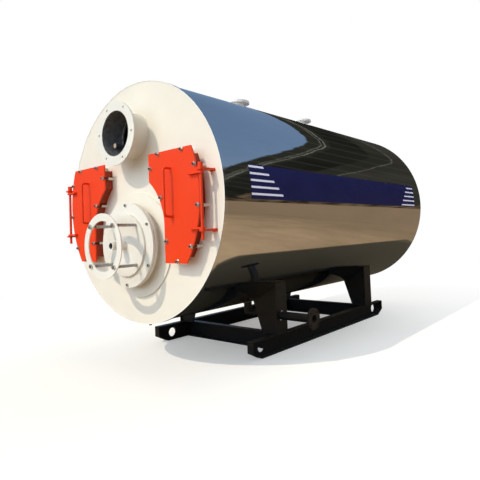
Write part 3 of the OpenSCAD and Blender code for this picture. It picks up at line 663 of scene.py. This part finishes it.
def door_spots():
    """The clamp bolts' places on a door: 15 mm in from an outer edge, 24 mm from an inner one."""
    outer, inner = 0.015, 0.024

    def along(x, z, share):
        return x + share * (math.sqrt(DOOR_R ** 2 - z ** 2) - x)

    return [(along(IN_UP, DOOR_TOP, 0.24), DOOR_TOP - outer),
            (along(IN_UP, DOOR_TOP, 0.8), DOOR_TOP - outer),
            (IN_UP + inner, DOOR_TOP * 0.67),
            polar(ARC_R + inner, math.radians(28), ARC_X, -ARC_Z),
            (IN_LOW + inner, -DOOR_BOT * 0.67),
            (along(IN_LOW, DOOR_BOT, 0.59), -DOOR_BOT + outer),
            *(polar(DOOR_R - outer, math.radians(a)) for a in (14.2, -5.5, -25.9))]


def door_bolts(m):
    """Studs, nuts and washers round each cover."""
    for side, body, node in ((1, "right_door", "right_bolts"), (-1, "left_door", "left_bolts")):
        bm = bmesh.new()
        for x, z in door_spots():
            fastener(bm, place(at_front(side * x, -COVER_Y, z), FRONT, any_spin()),
                     (0.017, 0.0083, 0.003), (0.0242, 0.013, 0.0078),
                     (0.008, -0.052, 0.022, 0.0025), 1)
        add_mesh(node + "_detail", bm, [m["zinc"], m["bolt"]], body, (node,))


def port_bolts(m):
    """The burner port's cover bolts and the four rods that hold the adapter ring."""
    bm = bmesh.new()
    for x, z in spread(PORT_BOLTS_R, 30, 6):
        fastener(bm, place(at_front(x, -PORT_COVER_Y, -BURNER_DOWN - z), FRONT, any_spin()),
                 (0.0145, 0.0065, 0.002), (0.0215, 0.0085, 0.006),
                 (0.0065, 0.0, 0.014, 0.002), 1, 14)
    add_mesh("burner_bolts_detail", bm, [m["zinc"], m["bolt"]], "boiler",
             ("burner_bolts",))

    bm = bmesh.new()
    for x, z in spread(RODS_R, 45, 4):
        k = place(at_front(x, 0, -BURNER_DOWN - z), FRONT, any_spin())
        lathe(bm, k, [(0, DISC_Y), (ROD_R, DISC_Y), (ROD_R, 0.290), (0.0105, 0.292), (0.0105, 0.30),
                      (0, 0.30)])
        thread(bm, k, ROD_R, 0.291, 0.358, 0.003, 24)
        for z0 in (0.316, 0.338):  # a nut on each side of the ring
            nut(bm, k, 0.0333, 0.014, 0.0115, z0, 1)
    add_mesh("ring_rods_detail", bm, [m["rod"], m["zinc"]], "boiler", ("ring_rods",))


def rear_bolts(m):
    """Nuts before the rear neck's flange, and the bolts' heads in the seats of the cover."""
    bm = bmesh.new()
    for x, z in spread(REAR_BOLTS_R, 15, REAR_BOLTS):
        spot = at_front(x, REAR_FLANGE_Y, z)
        fastener(bm, place(spot, FRONT, any_spin()),
                 (0.0145, 0.0085, 0.0025), (0.0215, 0.0105, 0.0078),
                 (0.008, -0.004, 0.021, 0.0025), n=14)
        k = place(spot + Vector((0, REAR_FLANGE_T + SEAT_FLOOR, 0)), AY, any_spin())
        washer(bm, k, 0.0145, 0.0065, 0.002)
        nut(bm, k, 0.0215, 0.0078, 0, 0.002)
    add_mesh("rear_bolts", bm, [m["zinc"]], "boiler")


def rear_cover(m):
    """The rear cover with the spot-faced seats that keep its bolts' heads below its face."""
    box_lo, box_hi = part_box("rear_cover")
    r, edge, y1, y2 = (box_hi[0] - box_lo[0]) / 2, 0.0015, box_lo[1], box_hi[1]
    bm = bmesh.new()

    def ring(rr, y, cx=0.0, cz=0.0, n=96):
        around = [polar(rr, TURN * i / n, cx, AXIS_H + cz) for i in range(n)]
        return [bm.verts.new((x, y, z)) for x, z in around]

    outer = [ring(rr, y) for rr, y in
             ((r - edge, y1), (r, y1 + edge), (r, y2 - edge), (r - edge, y2))]
    skin(bm, outer)
    bm.faces.new(outer[0])
    rims = [outer[-1]]
    for cx, cz in spread(REAR_BOLTS_R, 15, REAR_BOLTS):
        seat = [ring(SEAT_R, y, cx, cz, 32) for y in (y2, y1 + SEAT_FLOOR)]
        skin(bm, seat)
        bm.faces.new(seat[-1])
        rims.append(seat[0])
    edges = [bm.edges.get((v, w)) for loop in rims for v, w in zip(loop, loop[1:] + loop[:1])]
    bmesh.ops.triangle_fill(bm, use_beauty=True, use_dissolve=False, edges=edges)
    add_mesh("rear_cover_seats", bm, [m["cream"]], "boiler", ("rear_cover",))


# ---------------------------------------------------------------- weld beads and mastic
def resample(pts, closed, step):
    """Points a step apart along a path."""
    out, carry = [], 0.0
    for a, b in zip(pts, pts[1:] + (pts[:1] if closed else [])):
        d = (b - a).length
        s = carry
        while s < d:
            out.append(a.lerp(b, s / d))
            s += step
        carry = s - d
    if not closed:
        out.append(pts[-1].copy())
    return out


def weld(bm, pts, r, ref, closed=False, ripple=0.009, mat=0):
    """A hand-laid bead along a path, with the scales that weaving leaves."""
    per_scale = 4
    pts = resample(pts, closed, ripple / per_scale)
    n = len(pts)
    ref = Vector(ref).normalized()
    rings, drift = [], 0.0
    for i, p in enumerate(pts):
        q1 = pts[(i + 1) % n] if closed else pts[min(i + 1, n - 1)]
        q0 = pts[i - 1] if closed else pts[max(i - 1, 0)]
        side = (q1 - q0).cross(ref)
        if side.length < 1e-9:
            continue
        side.normalize()
        drift = drift * 0.9 + rng.uniform(-0.03, 0.03)
        k = 0.84 + 0.2 * math.sqrt(1 - (i / per_scale) % 1.0) + drift
        rings.append([bm.verts.new(p + (side * math.cos(a) + ref * math.sin(a)) * r * k)
                      for a in (0, 1.05, 2.1, 3.15, 4.2, 5.25)])
    if not closed:
        rings = [[bm.verts.new(pts[0])]] + rings + [[bm.verts.new(pts[-1])]]
    skin(bm, rings, mat, closed)


def weld_round(bm, x, y, z, r, bead, axis=AY, n=72, ripple=0.009):
    """A bead round a pipe or disc of radius r."""
    weld(bm, circle(at_front(x, y, z), r, axis, n), bead, axis, True, ripple)


def door_line(e, eh):
    """The door frame's outline on the plate, drawn in by e, and by eh at the hinge edge."""
    def arc(r, a1, a2, n, x=0.0, z=0.0):
        return [polar(r, a1 + (a2 - a1) * i / n, x, z) for i in range(n + 1)]

    ro, top, bot = DOOR_R - eh, DOOR_TOP - e, -DOOR_BOT + e
    x, ri = IN_UP + e, ARC_R + e
    b1, b2 = math.acos((x - ARC_X) / ri), math.acos((IN_LOW + e - ARC_X) / ri)
    return [*arc(ro, math.asin(bot / ro), math.asin(top / ro), 24), (x, top),
            *arc(ri, b1, b2, 16, ARC_X, -ARC_Z), (IN_LOW + e, bot)]


def welds_front(m):
    """The beads on the front and rear plates and the burner port."""
    bm = bmesh.new()
    for y, r, z, bead in (
            (0, 0.186, FLUE_UP, 0.006),            # flue neck on the plate
            (0, 0.430, -BURNER_DOWN, 0.0045),      # pad on the plate
            (-0.012, 0.302, -BURNER_DOWN, 0.006),  # burner neck on the pad
            (-0.185, 0.186, FLUE_UP, 0.005),       # flue neck behind its flange
            (-0.074, 0.302, -BURNER_DOWN, 0.006),  # burner neck behind its flange
            (-0.133, 0.033, -BURNER_DOWN, 0.004),  # sight tube on the disc
            (3.804, 0.188, 0, 0.006),              # rear neck on the rear plate
            (3.850, 0.188, 0, 0.005),              # rear neck before its flange
            (3.804, 0.984, 0, 0.005)):             # rear plate in the jacket
        weld_round(bm, 0, y, z, r, bead)
    for x, z in spread(RODS_R, 45, 4):
        weld_round(bm, x, -DISC_Y, -BURNER_DOWN - z, ROD_R, 0.0035, n=24, ripple=0.006)
    for side in (1, -1):
        for x, z in door_spots():
            weld_round(bm, side * x, 0, z, 0.011, 0.003, n=20, ripple=0.006)
    add_mesh("welds_front", bm, [m["cream"]], "boiler")


def welds_frames(m):
    """The door frames' and the hinge brackets' beads on the plate."""
    x1, x2, dz = 0.867, 0.915, HALF_LUG
    corners = ((x1, -dz), (x2, -dz), (x2, dz), (x1, dz))
    bm = bmesh.new()
    for side in (1, -1):
        line = [at_front(side * x, 0, z) for x, z in door_line(0.044, 0.055)]
        weld(bm, line, 0.0045, AY, True, 0.009, 1)
        for z in BRACKET_Z:
            foot = [at_front(side * x, 0, z + d) for x, d in corners]
            weld(bm, foot, 0.004, AY, True, 0.007)
    add_mesh("welds_frames", bm, [m["orange"], m["frame"]], "boiler")


def welds_doors(m):
    """The lugs' and the handle's beads on each cover."""
    for side, body in ((1, "right_door"), (-1, "left_door")):
        bm = bmesh.new()
        for z in LUG_Z:
            x2 = math.sqrt(DOOR_R ** 2 - (abs(z) + HALF_LUG) ** 2) - 0.004
            for dz in (-HALF_LUG, HALF_LUG):
                line = [at_front(side * x, -COVER_Y, z + dz) for x in (0.769, x2)]
                weld(bm, line, 0.0035, AY, False, 0.007)
        for z in HANDLE_Z:
            weld_round(bm, side * HANDLE_X, -COVER_Y, z, 0.009, 0.0035, n=24, ripple=0.006)
        add_mesh(body + "_welds", bm, [m["orange"]], body)


def welds_skid(m):
    """The saddles' and beams' beads, and the drain flange's."""
    bm = bmesh.new()

    def line(bead, axis, *pts):
        weld(bm, [at_front(*p) for p in pts], bead, axis)

    for side in (1, -1):
        plate, inner, outer, corner, runner = (
            side * x for x in (SIDE_X, 0.468, 0.637, 0.638, RUNNER_X))
        for y in SADDLE_Y:
            # the side plate under the jacket and on the runner, the cross plate on the runner
            for z, bead in ((-math.sqrt(R_SEAT ** 2 - SIDE_X ** 2), 0.005), (RUNNER_TOP, 0.004)):
                line(bead, AX, (plate, y + 0.002, z), (plate, y + 0.160, z))
            for dy in (0.018, 0.030):
                line(0.004, AY, (inner, y + dy, RUNNER_TOP), (outer, y + dy, RUNNER_TOP))
            # the cross plate against the side plate and round the jacket
            line(0.004, AX, (corner, y + 0.018, -1.206), (corner, y + 0.018, -0.76))
            arc = [0.374 + 0.0165 * i for i in range(17)]
            line(0.005, AY, *((side * x, y + 0.018, -math.sqrt(R_SEAT ** 2 - x ** 2)) for x in arc))
        for y in BEAM_Y:
            line(0.004, AX, (runner, y + 0.002, RUNNER_TOP), (runner, y + 0.063, RUNNER_TOP))
            for dy in (0.0565, 0.065):
                line(0.004, AX, (runner, y + dy, -1.357), (runner, y + dy, -1.219))
    weld_round(bm, 0.972, DRAIN_Y, -1.050, 0.038, 0.005, AX, 48, 0.007)
    add_mesh("welds_skid", bm, [m["black"]], "boiler")


def welds_nozzles(m):
    """The nozzles' beads under their flanges."""
    bm = bmesh.new()
    for y in NOZZLE_Y:
        weld_round(bm, 0, y, 1.101 - 0.022, 0.070, 0.005, AZ, 60, 0.007)
    add_mesh("welds_nozzles", bm, [m["nozzle"]], "boiler")


def seals(m):
    """Mastic where the nozzles, the drain and the condensate nipple pass the jacket."""
    n = 60
    bm = bmesh.new()
    for x0, y0, r, up in ((0, NOZZLE_Y[0], 0.0730, 1), (0, NOZZLE_Y[1], 0.0730, 1),
                          (0.250, DRAIN_Y, 0.041, -1), (0, 0.100, 0.016, -1)):
        pts = [polar(r, TURN * i / n, x0, y0) for i in range(n)]
        line = [at_front(x, y, up * math.sqrt(R_JACKET ** 2 - x * x)) for x, y in pts]
        weld(bm, line, 0.0045, AZ, True, 0.03)
    add_mesh("seals", bm, [m["seal"]], "boiler")


# ---------------------------------------------------------------- other pieces
def flue_bar(m):
    """The bar that stands in the flue, held by the tube plate."""
    r, length, end_y = 0.021, 0.322, 0.1125
    bm = bmesh.new()
    lathe(bm, place(at_front(-0.125, 0.207, 0.482), FRONT),
          [(0, 0), (r, 0), (r, length - 0.003), (r - 0.0015, length), (0, length)])
    for f in bm.faces:
        if all(v.co.y < PLATE_Y - end_y for v in f.verts):
            f.material_index = 1
    add_mesh("flue_bar", bm, [m["bar"], m["tan"]], "boiler")


def banner_stripes(m):
    """Printed bars at both ends of the banner, laid on its curve."""
    under, over = R_JACKET + 0.0018, R_JACKET + 0.0030
    half, steps, slant = 0.47, 3, 0.008  # half a bar's width in degrees, and its end's slant
    # each bar's angle over the axis, in degrees, and where it ends; they start at the banner's ends
    left = [(12.1, 0.481), (9.0, 0.538), (5.95, 0.593), (2.95, 0.648), (-0.1, 0.700)]
    right = [(11.1, 3.387), (8.0, 3.325), (4.95, 3.271), (1.85, 3.222), (-1.25, 3.176)]
    bm = bmesh.new()
    for rows, start, sign in ((left, 0.3035, 1), (right, 3.5895, -1)):
        for a0, y in rows:
            sections = []
            for j in range(steps + 1):
                a = math.radians(a0 + half - 2 * half * j / steps)
                end = y + sign * slant * (j / steps - 0.5)
                corners = ((over, start), (over, end), (under, end), (under, start))
                sections.append([bm.verts.new(at_front(r * math.cos(a), v, r * math.sin(a)))
                                 for r, v in corners])
            skin(bm, sections)
            bm.faces.new(sections[0])
            bm.faces.new(sections[-1])
    add_mesh("banner_stripes", bm, [m["stripe"]], "boiler")


make_camera()
make_world()
make_floor()
make_lamps()
mats = make_materials()
dress(mats)
# rng is drawn from in this order
for make in (door_bolts, port_bolts, rear_bolts, rear_cover, welds_front, welds_frames, welds_doors,
             welds_skid, welds_nozzles, seals, flue_bar, banner_stripes):
    make(mats)
bpy.context.scene.view_settings.view_transform = "Standard"
